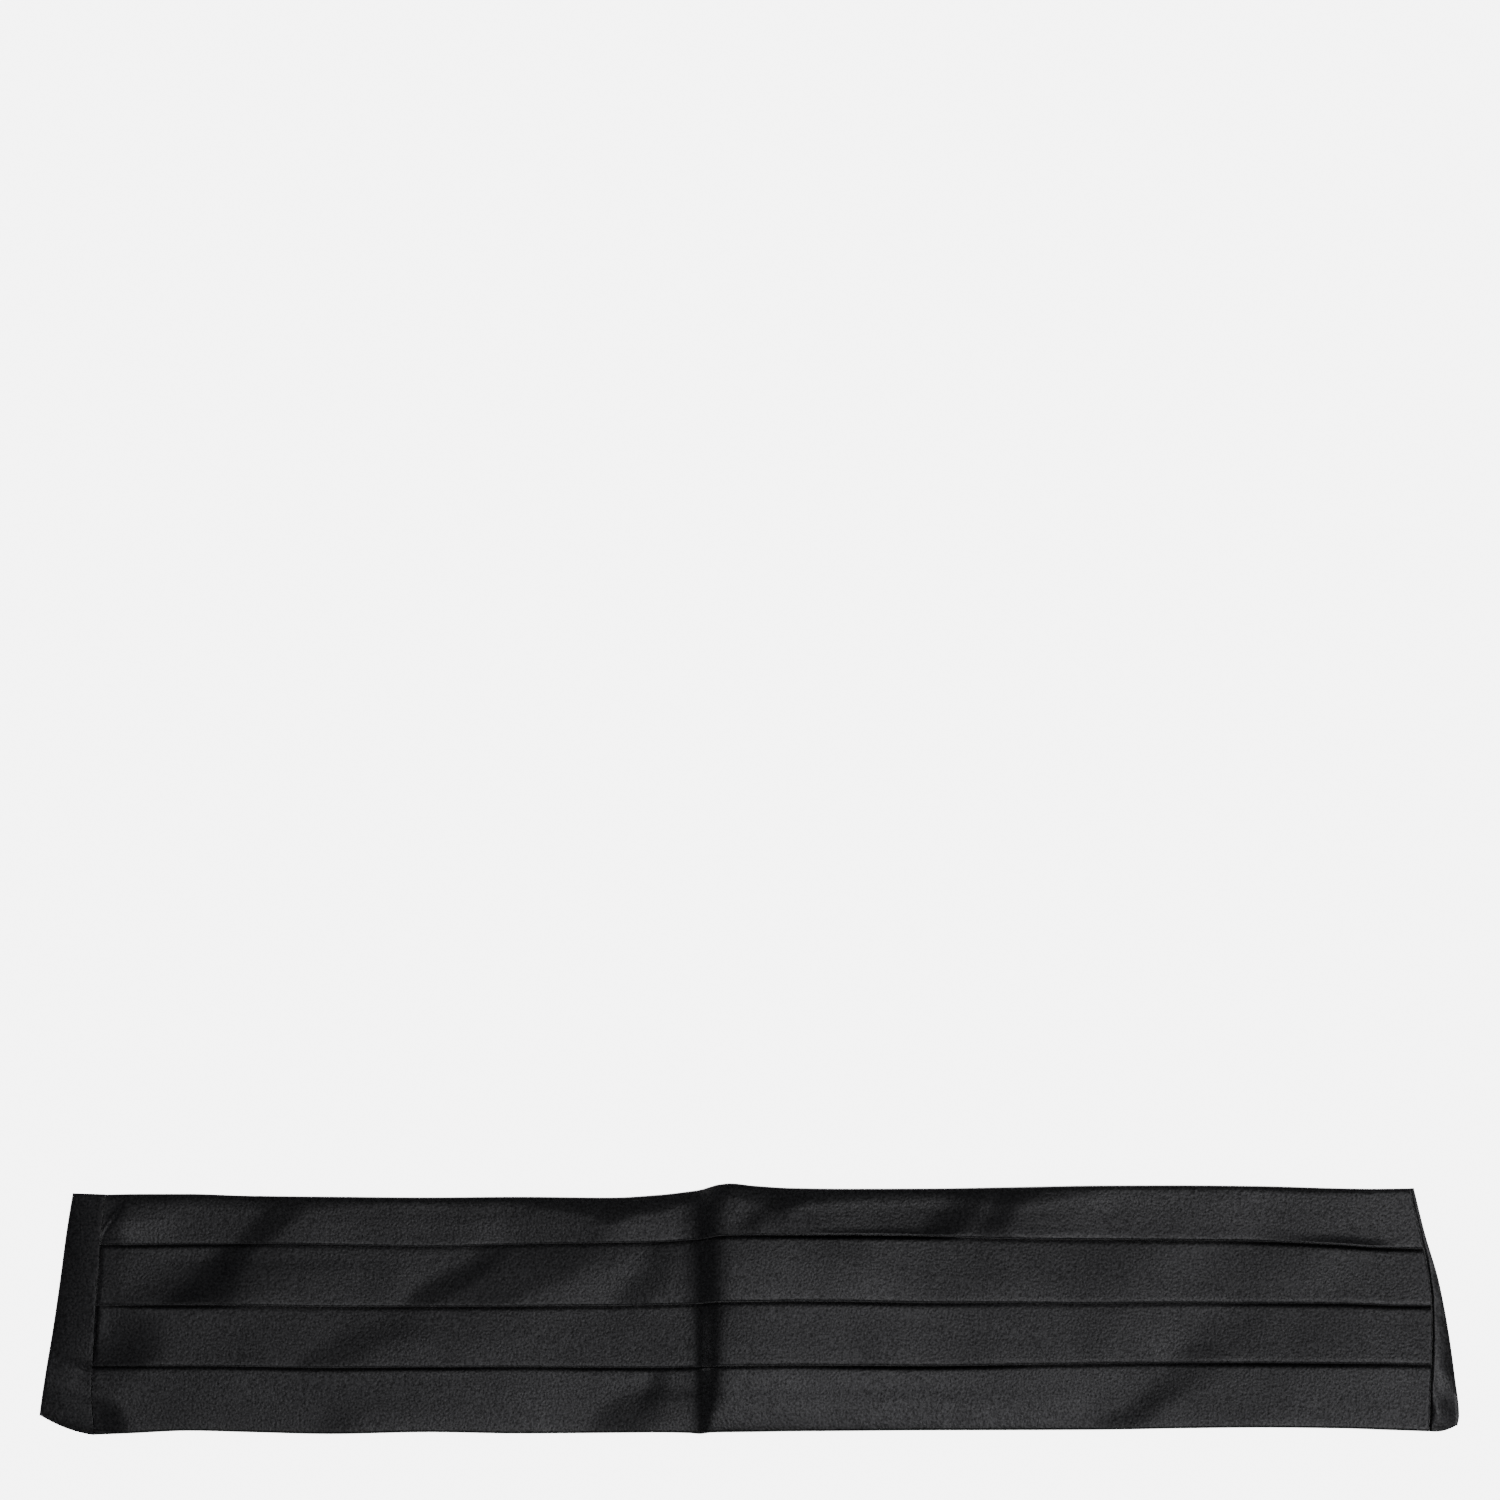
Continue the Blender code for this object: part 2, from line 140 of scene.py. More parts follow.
def climbed(slopes: Curve, step: float = 0.5) -> Curve:
    """Heights that a table of slopes climbs to, from zero at its first row."""
    places = np.arange(slopes.rows[0][0], slopes.rows[-1][0] + step / 2, step)
    read = slopes.at(places)
    heights = np.concatenate(([0.0], np.cumsum((read[1:] + read[:-1]) / 2 * step)))
    return Curve(tuple(zip(places.tolist(), heights.tolist())))


class Waves(NamedTuple):
    """Soft uneven relief made of waves that run many ways, drawn by a seed between two lengths."""

    seed: int
    count: int
    shortest: float
    longest: float
    growth: float = 1.6

    def at(self, x: Grid, y: Grid) -> Grid:
        """Relief of about one unit either way at points, in which longer waves stand higher."""
        draw = np.random.default_rng(self.seed)
        total = np.zeros(np.shape(x))
        weight = 0.0
        for length, way, phase in zip(draw.uniform(self.shortest, self.longest, self.count),
                                      draw.uniform(0, math.pi, self.count), draw.uniform(0, 2 * math.pi, self.count)):
            share = (length / self.longest) ** self.growth
            total += share * np.sin((x * math.cos(way) + y * math.sin(way)) * 2 * math.pi / length + phase)
            weight += share * share
        return total / math.sqrt(weight)


# ---- The cloth's measures ----


class Section(NamedTuple):
    """The front at one place along X: its upper edge, three fold edges and lower edge."""

    x: float
    top: float
    fold1: float
    fold2: float
    fold3: float
    bottom: float


SECTIONS = [Section(*row) for row in (
    (-326, 57.3, 31.9, 1.5, -28.6, -63), (-309, 57.6, 32, 1.7, -28.6, -62.3), (-280, 57.6, 32.3, 1.9, -28.6, -61),
    (-250, 56.7, 32.4, 1.6, -28.9, -61.7), (-210, 56.3, 31.9, 0.9, -29.5, -62.6), (-160, 55.9, 31, 1.1, -29.2, -61.7),
    (-115, 56.2, 32.1, 1.2, -29.1, -62.4), (-70, 55.8, 32.9, 1.4, -29.4, -62.1), (-45, 57.2, 33.3, 1.9, -29.5, -61.9),
    (-30, 58.9, 34.3, 2.3, -29.2, -62.2), (-24.8, 59.7, 34.7, 2.5, -29.1, -62.6), (-20.3, 61, 35.5, 2.9, -28.9, -62),
    (-15.8, 62.3, 36.4, 3.4, -28.6, -61.8), (-9.3, 63, 36.7, 3.5, -28.5, -61.7), (1.3, 61.9, 36.9, 3.5, -28.4, -61.6),
    (20.3, 60.7, 36.9, 3.8, -28.2, -61.3), (50, 60.3, 36.9, 3.6, -28.4, -61.1), (90, 60.4, 36.3, 2.9, -28.6, -60.8),
    (130, 61.1, 34.9, 2.8, -28.1, -60.7), (175, 61.9, 34.4, 2.5, -27.5, -60.5), (215, 62, 34.1, 2.9, -27.1, -59.8),
    (255, 61.6, 33.6, 2.8, -27.1, -59.4), (295, 60.5, 31.9, 2.6, -27.4, -59.8), (320, 60.2, 30.4, 1.7, -27.6, -60.6),
    (340, 60.4, 29.9, 1.4, -28.1, -61.3),
)]
FIRST_X = SECTIONS[0].x
LAST_X = SECTIONS[-1].x


class EdgeRow(NamedTuple):
    """Where a slanting line lies at one height across the front, at its left and its right end."""

    y: float
    left: float
    right: float


SEAMS = [EdgeRow(*row) for row in (
    (-63, -327.4, 339.8), (-50, -328.7, 340.2), (-36, -329, 340.7), (-25, -328.3, 341.2), (-5, -327.3, 341.4),
    (9, -326.3, 340.7), (20, -325.4, 339.2), (30, -324.8, 337.2), (45, -323.3, 333.6), (60.5, -322, 329.9),
)]
END_FOLDS = [EdgeRow(*row) for row in (
    (-58.4, -355.5, 354), (-53.6, -355.1, 354.9), (-33.6, -352.3, 352.7), (-9.6, -348.3, 349.3), (14.4, -344.8, 344.6),
    (38.4, -341.6, 337.6), (60.4, -338, 332.2),
)]
SEAM_GAP = 0.3
SEAM_REACH = 60.0

CREASE_X = -24.8
# How steeply the cloth climbs past the pressed crease, and then its long way down to the right
CREASE_SLOPE = Curve((
    (-90, 0), (-30, 0.014), (-14, 0.014), (-10, 0.02), (-8, 0.04), (-6, 0.06), (-4, 0.085), (-2, 0.125), (0, 0.22),
    (2, 0.27), (4, 0.265), (6, 0.215), (8, 0.16), (10, 0.105), (12, 0.065), (14, 0.04), (17, 0.015), (20, 0),
    (28, -0.012), (50, -0.024), (90, -0.028), (140, -0.02), (200, -0.008), (240, 0)))
CREASE = climbed(CREASE_SLOPE)
# How far right the crease's middle lies at each height across, and how narrow it is before and past that
CREASE_SHIFT = Curve(((-62, 0.3), (-52, 0.8), (-36, 1.6), (-8, 1.6), (4, 0.3), (12, 0)))
CREASE_BEFORE = Curve(((-62, 0.6), (-48, 0.5), (-36, 0.4), (-20, 0.45), (-6, 0.5), (6, 1), (60, 1)))
CREASE_PAST = Curve((
    (-62, 0.3), (-54, 0.42), (-46, 0.66), (-33, 0.68), (-20, 0.64), (-6, 0.7), (2, 0.92), (10, 1), (60, 1.05)))
CREASE_STEEP = 16.0
CREASE_SHARE = Curve(((-62, 0.4), (-30, 0.95), (-20, 1)))


class StepRow(NamedTuple):
    """One row of a wrinkle: how high across the cloth, the flank's middle and width along X, and its rise."""

    y: float
    x: float
    flank: float
    rise: float


@dataclass(frozen=True)
class Wrinkle:
    """A soft step in the shown cloth: a flank that turns to the upper left, then a long fall to the right.

    bands are the bands that it crosses, counted from the upper edge. Beyond its first and last row it is gone.
    """

    bands: tuple[int, ...]
    fall: float
    rows: tuple[StepRow, ...]

    def lift(self, x: Grid, y: Grid) -> Grid:
        """Height that the wrinkle adds at points of its bands."""
        middle, flank, rise = (curve(sorted(self.rows), "y", key).at(y) for key in ("x", "flank", "rise"))
        across = x - middle
        side = ramp(across / flank + 0.5) * (1.0 - ease((across - flank / 2) / self.fall))
        return rise * side


WARP = 2.6
WRINKLES = [Wrinkle(bands, fall, tuple(StepRow(*row) for row in rows)) for bands, fall, rows in (
    ((1,), 40, ((34, -324.5, 2.6, 0.3), (38, -322.5, 2.6, 0.8), (43, -319.6, 3, 0.85), (49, -316, 3.4, 0.55),
        (56, -312, 4, 0))),
    ((1,), 500, ((60, -231, 22, 1), (52, -234, 22, 1.2), (44, -239, 22, 1.2), (38, -244, 20, 1.1),
        (31, -250, 20, 1))),
    ((2,), 150, ((33, -252, 20, 1.1), (24, -259, 24, 1.35), (17, -265, 28, 1.5), (9, -272, 30, 1.5),
        (2, -278, 32, 1.4))),
    ((2,), 140, ((24, -288, 40, 0), (16, -294, 42, 0.35), (8, -298, 44, 0.75), (0, -302, 46, 1.1))),
    ((2,), 160, ((33, -126, 24, 0.7), (24, -134, 26, 0.9), (17, -144, 26, 1), (9, -155, 26, 1.05),
        (2, -164, 28, 1.05))),
    ((2,), 200, ((33, -92, 70, 1), (24, -102, 66, 1), (17, -112, 62, 0.95), (9, -124, 56, 0.9), (2, -136, 54, 0.85))),
    ((3,), 150, ((1, -170, 34, 0.1), (-8, -180, 34, 0.2), (-16, -196, 36, 0.4), (-28, -214, 36, 0.5))),
    ((4,), 120, ((-34, -198, 34, 0), (-46, -202, 34, 0.3), (-55, -206, 30, 0.5), (-64, -212, 30, 0.5))),
    ((2,), 400, ((34, -42, 18, 0.5), (22, -47, 22, 0.8), (10, -53, 26, 1), (0, -58, 28, 1))),
    ((4,), 400, ((-28, -43, 9, 0.3), (-38, -45, 12, 0.6), (-48, -51, 22, 0.9), (-56, -55, 32, 1), (-63, -59, 36, 1))),
    ((4,), 300, ((-40, -62, 9, 0), (-48, -66, 10, 0.4), (-56, -71, 12, 0.5), (-63, -75, 12, 0.45))),
    ((1,), 300, ((60, 24, 32, 1), (54, 17, 26, 1), (48, 9, 18, 1), (44, 8, 22, 1), (38, 9, 50, 1), (31, 16, 70, 1))),
    ((1,), 200, ((61, 110, 26, 1.1), (53, 107, 24, 1.1), (45, 102, 22, 1.2), (38, 96, 21, 1.3), (31, 90, 20, 1.3))),
    ((1,), 500, ((61, 138, 24, 1.1), (53, 131, 22, 1.15), (46, 126, 18, 1.15), (40, 122, 20, 1.1), (35, 124, 36, 1.1),
        (31, 130, 50, 1.1))),
    ((2, 3, 4), 600, ((34, 264, 50, 0), (4, 252, 40, 0.1), (-14, 238, 34, 0.3), (-28, 222, 31, 0.5),
        (-40, 209, 28, 0.6), (-54, 189, 27, 0.75), (-62, 180, 28, 0.8))),
    ((2, 3, 4), 600, ((36, 238, 60, -0.4), (0, 212, 60, -0.4), (-30, 190, 50, -0.4), (-64, 165, 50, -0.4))),
)]

# Bulges along the upper edge, by place along X: how far the cloth rises from the edge inwards, how soon, and
# how much further it rises past that
TOP_RISE = Curve((
    (-325, 0.2), (-310, 0.35), (-250, 0.5), (-225, 0.6), (-175, 0.3), (-125, 0.3), (-104, 0.8), (-92, 1.2),
    (-80, 1.6), (-72, 1.8), (-64, 1.75), (-54, 1.5), (-44, 1.25), (-34, 0.95), (-18, 0.8), (-4, 0.9), (8, 1.3),
    (20, 1.3), (34, 1.1), (46, 0.9), (60, 0.7), (85, 0.6), (105, 0.7), (125, 1), (140, 0.9), (155, 0.5), (170, 0.2),
    (185, 0), (250, 0.05), (275, 0.25), (325, 0.1)))
TOP_REACH = Curve((
    (-325, 4), (-225, 7.5), (-175, 4), (-125, 5), (-104, 6.5), (-92, 8), (-80, 10), (-73, 15), (-66, 13), (-56, 10),
    (-44, 9.5), (-36, 6.5), (-18, 8), (-4, 8), (8, 12), (20, 10), (34, 8), (60, 6.5), (105, 6), (125, 10), (145, 9),
    (170, 6), (325, 3)))
TOP_AFTER = Curve((
    (-325, 0), (-225, 0.2), (-170, 0.3), (-125, 0), (-92, -0.2), (-72, -0.2), (-36, 0), (-4, 0), (15, 0.3), (35, 0.7),
    (90, 0.7), (105, 0.5), (150, 0.4), (180, 0.15), (325, 0.2)))
# Curl of the first fold's lip: it stands up towards the fold line and throws the cloth above it into shade
LIP_CURL = Curve((
    (-330, 0), (-30, 0), (5, 0.05), (25, 0.15), (45, 0.3), (70, 0.45), (90, 0.4), (104, 0.2), (112, 0), (250, 0),
    (270, 0.2), (295, 0.7), (313, 0.6), (326, 0.1), (340, 0)))
LIP_CURL_REACH = Curve(((-14, 3.5), (60, 4), (110, 4.5), (200, 5)))
# By fold and place along X: how much of the furrow below it shows, and of the roll of the lip above it
FURROWS = {
    1: Curve((
        (-315, 0.6), (-275, 0.75), (-235, 0.25), (-155, 0.2), (-75, 0.3), (-35, 0.4), (5, 1), (25, 1.2), (45, 1.7),
        (65, 1.7), (85, 1.4), (98, 0.7), (108, 0.3), (225, 0.4), (265, 0.9), (305, 1.2), (325, 1))),
    2: Curve((
        (-330, 0.7), (-275, 0.8), (-245, 0.2), (-195, 0.35), (-115, 0.55), (-75, 0.4), (-35, 0.4), (5, 0.5),
        (45, 0.7), (105, 0.6), (125, 0.35), (145, 0.25), (225, 0.35), (265, 0.75), (305, 0.95), (330, 1.2))),
    3: Curve((
        (-330, 1.3), (-290, 0.65), (-195, 0.85), (-155, 1), (-115, 0.6), (-75, 0.9), (5, 0.6), (25, 0.65), (45, 1.1),
        (65, 1.6), (105, 1.5), (125, 1.2), (145, 0.55), (205, 0.6), (245, 1), (285, 1.2), (325, 0.7))),
}
LOWER_LIPS = Curve(((-330, 0.5), (-60, 0.4), (0, 1), (340, 1)))
LIPS = {
    1: Curve((
        (-330, 0.5), (-60, 0.4), (0, 0.6), (25, 0.4), (45, 0), (90, 0), (108, 0.8), (250, 0.9), (272, 0.1), (312, 0),
        (330, 0.8))),
    2: LOWER_LIPS,
    3: LOWER_LIPS,
}


# ---- What lies under the front ----


class Side(Enum):
    """The two ends of the front."""

    LEFT = "left"
    RIGHT = "right"

    @property
    def sign(self) -> int:
        """The way along X from the front to this end."""
        return -1 if self is Side.LEFT else 1


class SettleRow(NamedTuple):
    """How the front comes down to a seam at one height across.

    flat and lift are the shares of its pleats' height and of its lift that are left there, reach is how far in
    that goes, ditch is how deep the seam's furrow is, and end is the end piece's own height at the seam.
    """

    y: float
    flat: float
    lift: float
    reach: float
    ditch: float
    end: float


SETTLES = {side: [SettleRow(*row) for row in rows] for side, rows in {
    Side.LEFT: (
        (-63, 0.5, 0.75, 18, 0.1, 1.7), (-57, 0.4, 0.6, 18, 0.1, 2.3), (-50, 0.5, 0.7, 16, 0.08, 2.5),
        (-42, 0.85, 1, 12, 0.05, 1.9), (-32, 0.8, 0.9, 26, 0.15, 2), (-26, 0.5, 0.7, 34, 0.4, 2.6),
        (-15, 0.35, 0.5, 38, 0.4, 2.7), (-5, 0.45, 0.6, 38, 0.4, 2.8), (4, 0.8, 0.95, 20, 0.4, 2.9),
        (20, 0.85, 1, 12, 0.4, 2.9), (33, 0.85, 1, 12, 0.3, 2.9), (38, 0.85, 1, 12, 0.05, 2.9),
        (57.6, 0.85, 1, 12, 0, 2.6),
    ),
    Side.RIGHT: (
        (-61.3, 0.85, 1, 40, 0.2, 2.6), (-30, 0.85, 1, 40, 0.2, 3.1), (0, 0.8, 1, 40, 0.15, 3.1),
        (30, 0.75, 1, 30, 0.15, 3.1), (60.4, 0.8, 1, 30, 0.1, 3),
    ),
}.items()}


@dataclass(frozen=True)
class EndMeasures:
    """Where one tapered end piece starts, folds and narrows to its strap."""

    side: Side
    seam_low: float
    seam_high: float
    fold_low: float
    fold_high: float
    bow: float
    neck_x: float
    neck_y: float
    strap_width: float = 28.0
    strap_length: float = 45.0
    strap_slope: float = 14.0
    cut: Pair = (0.127, 0.135)
    cut_area: float = 0.0105

    @property
    def along(self) -> Grid:
        """The way the strap runs, away from its end piece."""
        slope = math.radians(self.strap_slope)
        return np.array((-self.side.sign * math.cos(slope), -math.sin(slope)))

    @property
    def upwards(self) -> Grid:
        """The way across the strap, towards the front's upper edge."""
        return self.side.sign * np.array((self.along[1], -self.along[0]))

    @property
    def neck(self) -> tuple[Grid, Grid]:
        """The lower and the upper corner of the narrow end."""
        low = np.array((self.neck_x, self.neck_y))
        return low, low + self.upwards * self.strap_width

    @property
    def strap_tip(self) -> Grid:
        """The middle of the strap's far end."""
        return sum(self.neck) / 2 + self.along * (SEAM_GAP + self.strap_length)

    def strap_corners(self, reach: float) -> list[Grid]:
        """The lower and the upper end of a line across the strap, some way beyond its far end."""
        half = self.upwards * self.strap_width / 2
        return [self.strap_tip + self.along * reach + way * half for way in (-1, 1)]


ENDS = {
    Side.LEFT: EndMeasures(Side.LEFT, -63.1, 57.4, -53.4, 57.9, 1.6, -257.6, -44.0),
    Side.RIGHT: EndMeasures(Side.RIGHT, -61.2, 60.4, -58.4, 60.4, 1.2, 258.0, -46.0),
}


@dataclass
class Bed:
    """What the front lies on, and how high it stands over it."""

    over: float = 1.55
    margin: float = 4.0
    fall: float = 190.0
    metal_reach: dict = field(default_factory=lambda: {Side.LEFT: 6.0, Side.RIGHT: 9.0})

    def footprints(self) -> list[list]:
        """One outline at each end that holds the folded end piece, its strap and the metal on it."""
        return [[(curve(END_FOLDS, "y", side.value).at(y), y) for y in (end.fold_high, end.fold_low)]
                + end.strap_corners(self.metal_reach[side]) for side, end in ENDS.items()]

    @staticmethod
    def outside(corners: list, x: Grid, y: Grid) -> Grid:
        """How far points lie outside a convex outline, and negative inside it."""
        middle = np.mean(corners, axis=0)
        farthest = np.full(np.shape(x), -np.inf)
        for (ax, ay), (bx, by) in zip(corners, corners[1:] + corners[:1]):
            length = math.hypot(bx - ax, by - ay)
            way_x, way_y = (by - ay) / length, (ax - bx) / length
            inward = (middle[0] - ax) * way_x + (middle[1] - ay) * way_y > 0
            out = (x - ax) * way_x + (y - ay) * way_y
            farthest = np.maximum(farthest, -out if inward else out)
        return farthest

    def lift(self, x: Grid, y: Grid) -> Grid:
        """How high the underside of the front stands over the plane.

        Args:
            x: Places along the front.
            y: Places across it.

        Returns:
            The lift at each place, with the pressed crease in it.
        """
        over_pieces = np.zeros(np.shape(x))
        for corners in self.footprints():
            away = self.outside(corners, x, y) - self.margin
            over_pieces = np.maximum(over_pieces, self.over * ease(1.0 - away / self.fall))
        away = x - CREASE_X - CREASE_SHIFT.at(y)
        narrow = np.where(away > 0, CREASE_PAST.at(y), CREASE_BEFORE.at(y))
        beyond = away + np.sign(away) * CREASE_STEEP * (1.0 - narrow)
        away = np.where(np.abs(away) < CREASE_STEEP * narrow, away / narrow, beyond)
        return over_pieces + CREASE.at(away) * CREASE_SHARE.at(y)


# ---- Finishes ----


def fill(tree: NodeTree, node: Node, inputs: dict) -> None:
    """Give a node its inputs, by name or number: a socket is linked, anything else is the input's own value."""
    for label, given in inputs.items():
        if isinstance(given, NodeSocket):
            tree.links.new(given, node.inputs[label])
        else:
            node.inputs[label].default_value = given


def add_node(tree: NodeTree, kind: str, inputs: dict, **options: object) -> Node:
    """Add a shader node.

    Args:
        tree: The nodes of a material or a group.
        kind: The node's type, without the word ShaderNode.
        inputs: What its inputs get, as for fill.
        options: The node's own options.

    Returns:
        The node.
    """
    node = tree.nodes.new(f"ShaderNode{kind}")
    for option, choice in options.items():
        setattr(node, option, choice)
    fill(tree, node, inputs)
    return node


def mixed(tree: NodeTree, share: NodeSocket, places: Pair, colours: tuple) -> NodeSocket:
    """Two colours mixed by a share, each pure at its own place."""
    node = add_node(tree, "ValToRGB", {"Fac": share})
    for element, place, colour in zip(node.color_ramp.elements, places, colours):
        element.position = place
        element.color = (*colour, 1.0)
    return node.outputs["Color"]


def spread(tree: NodeTree, share: NodeSocket, source: Pair, target: Pair) -> NodeSocket:
    """A share taken from one range of values to another."""
    ends = dict(zip(("From Min", "From Max", "To Min", "To Max"), (*source, *target)))
    return add_node(tree, "MapRange", {"Value": share, **ends}).outputs["Result"]


def new_material(name: str) -> tuple:
    """Start a material and give it with its nodes and its shader."""
    material = bpy.data.materials.new(name)
    material.use_nodes = True
    return material, material.node_tree, material.node_tree.nodes["Principled BSDF"]


def new_group(name: str, inputs: tuple[str, ...], outputs: tuple[str, ...]) -> tuple:
    """Start a node group with float inputs and float outputs.

    Args:
        name: The group's name.
        inputs: Input names.
        outputs: Output names.

    Returns:
        The group with its input and output nodes.
    """
    group = bpy.data.node_groups.new(name, "ShaderNodeTree")
    for way, labels in (("INPUT", inputs), ("OUTPUT", outputs)):
        for label in labels:
            group.interface.new_socket(name=label, in_out=way, socket_type="NodeSocketFloat")
    return group, group.nodes.new("NodeGroupInput"), group.nodes.new("NodeGroupOutput")


class Effects:
    """Shader node groups that more than one finish uses, built once."""

    thread_stretch: Triple = (1.0, 0.45, 1.0)
    thread_turn: Triple = (0.0, 0.0, math.radians(28.0))
    thread_share: float = 0.35
    speckle_noise: dict = {"Detail": 3.0, "Roughness": 0.7}
    cloud_noise: dict = {"Detail": 3.0, "Roughness": 0.55}

    def __init__(self) -> None:
        """Build the groups."""
        self.grain = self.grain_group()
        self.shading = self.shading_group()

    def grain_group(self) -> NodeTree:
        """The fine grain of cloth: threads that float over each other, and a speckle where they catch light.

        Only the speckle has fine octaves; in the height they would dull the gloss and show no grain.
        """
        group, start, end = new_group("cloth_grain", ("Threads per metre", "Speckle per metre"), ("Height", "Speckle"))
        place = add_node(group, "TexCoord", {}).outputs["Object"]
        stretched = add_node(group, "Mapping", {"Vector": place, "Scale": self.thread_stretch,
                                                "Rotation": self.thread_turn}).outputs["Vector"]
        threads = add_node(group, "TexNoise", {"Vector": stretched, "Scale": start.outputs["Threads per metre"],
                                               "Detail": 0.0})
        fine = {"Vector": place, "Scale": start.outputs["Speckle per metre"]}
        knots = add_node(group, "TexNoise", {**fine, "Detail": 0.0})
        speckle = add_node(group, "TexNoise", {**fine, **self.speckle_noise})
        both = add_node(group, "Math", {0: threads.outputs["Fac"], 1: self.thread_share, 2: knots.outputs["Fac"]},
                        operation="MULTIPLY_ADD")
        fill(group, end, {"Height": both.outputs["Value"], "Speckle": speckle.outputs["Fac"]})
        return group

    def shading_group(self) -> NodeTree:
        """Slow variation over a surface, such as a pressed cloth's cloudy sheen."""
        group, start, end = new_group("cloudy", ("Clouds per metre",), ("Clouds",))
        place = add_node(group, "TexCoord", {}).outputs["Object"]
        clouds = add_node(group, "TexNoise", {"Vector": place, "Scale": start.outputs["Clouds per metre"],
                                              **self.cloud_noise})
        fill(group, end, {"Clouds": clouds.outputs["Fac"]})
        return group


@dataclass(frozen=True)
class ClothFinish:
    """A woven finish: two colours that its grain mixes, its gloss, and the size and depth of its grain.

    glint is the share of the gloss that strays from one thread to the next. It lies in the coat, which the
    export keeps. noise and glint_noise are the readings of the noise between which they come in.
    """

    name: str
    dark: Triple
    light: Triple
    gloss_rough: Pair
    glint: float
    sheen: float
    specular: float
    threads: float
    speckle: float
    clouds: float
    bump: float
    bump_depth: float
    noise: Pair = (0.3, 0.7)
    glint_noise: Pair = (0.36, 0.64)
    coat_share: float = 4.0
    sheen_rough: float = 0.4

    def material(self, effects: Effects) -> Material:
        """Make the finish as a material.

        Args:
            effects: The shared node groups.

        Returns:
            The material.
        """
        material, tree, shader = new_material(self.name)
        grain = add_node(tree, "Group", {"Threads per metre": self.threads, "Speckle per metre": self.speckle},
                         node_tree=effects.grain)
        clouds = add_node(tree, "Group", {"Clouds per metre": self.clouds}, node_tree=effects.shading)
        bump = add_node(tree, "Bump", {"Strength": self.bump, "Distance": self.bump_depth * MM,
                                       "Height": grain.outputs["Height"]})
        speckle = grain.outputs["Speckle"]
        coat = self.coat_share * self.specular * self.glint
        fill(tree, shader, {
            "Base Color": mixed(tree, speckle, self.noise, (self.dark, self.light)),
            "Roughness": spread(tree, clouds.outputs["Clouds"], self.noise, self.gloss_rough),
            "Coat Weight": spread(tree, speckle, self.glint_noise, (0.0, coat)),
            "Normal": bump.outputs["Normal"],
            "Specular IOR Level": self.specular * (1.0 - self.glint), "Coat Roughness": sum(self.gloss_rough) / 2,
            "Sheen Weight": self.sheen, "Sheen Roughness": self.sheen_rough})
        return material


@dataclass(frozen=True)
class MetalFinish:
    """Black painted metal with fine marks."""

    name: str = "black_painted_metal"
    colour: Triple = (0.012, 0.012, 0.013)
    worn: Triple = (0.06, 0.06, 0.06)
    worn_noise: Pair = (0.45, 0.8)
    gloss_rough: Pair = (0.28, 0.5)
    metallic: float = 0.6
    clouds: float = 350.0
    bump: float = 0.3
    bump_depth: float = 0.05

    def material(self, effects: Effects) -> Material:
        """Make the finish as a material.

        Args:
            effects: The shared node groups.

        Returns:
            The material.
        """
        material, tree, shader = new_material(self.name)
        marks = add_node(tree, "Group", {"Clouds per metre": self.clouds}, node_tree=effects.shading).outputs["Clouds"]
        bump = add_node(tree, "Bump", {"Strength": self.bump, "Distance": self.bump_depth * MM, "Height": marks})
        fill(tree, shader, {
            "Base Color": mixed(tree, marks, self.worn_noise, (self.colour, self.worn)),
            "Roughness": spread(tree, marks, (0.0, 1.0), self.gloss_rough),
            "Normal": bump.outputs["Normal"], "Metallic": self.metallic})
        return material


SATIN = ClothFinish(
    "black_satin", dark=(0.0006, 0.0006, 0.0009), light=(0.006, 0.006, 0.0075), gloss_rough=(0.355, 0.395), glint=0.4,
    sheen=0.0, specular=0.5, threads=1300.0, speckle=820.0, clouds=45.0, bump=1.0, bump_depth=0.1)
WEBBING = ClothFinish(
    "black_webbing", dark=(0.003, 0.003, 0.0035), light=(0.009, 0.009, 0.01), gloss_rough=(0.6, 0.75), glint=0.3,
    sheen=0.15, specular=0.4, threads=700.0, speckle=1500.0, clouds=80.0, bump=0.8, bump_depth=0.3)


# ---- Meshes ----


def put(name: str, data: ID) -> Object:
    """Put a mesh, a lamp or a camera into the scene."""
    thing = bpy.data.objects.new(name, data)
    bpy.context.scene.collection.objects.link(thing)
    return thing


def make_object(name: str, points: Grid, faces: list, material: Material) -> Object:
    """Make a smooth-shaded mesh object.

    Args:
        name: The piece's name.
        points: Its points in millimetres, one row each.
        faces: Tuples of point numbers.
        material: Its finish.

    Returns:
        The object, linked to the scene.
    """
    mesh = bpy.data.meshes.new(name)
    mesh.from_pydata((np.asarray(points, float).reshape(-1, 3) * MM).tolist(), [], faces)
    mesh.shade_smooth()
    mesh.materials.append(material)
    return put(name, mesh)


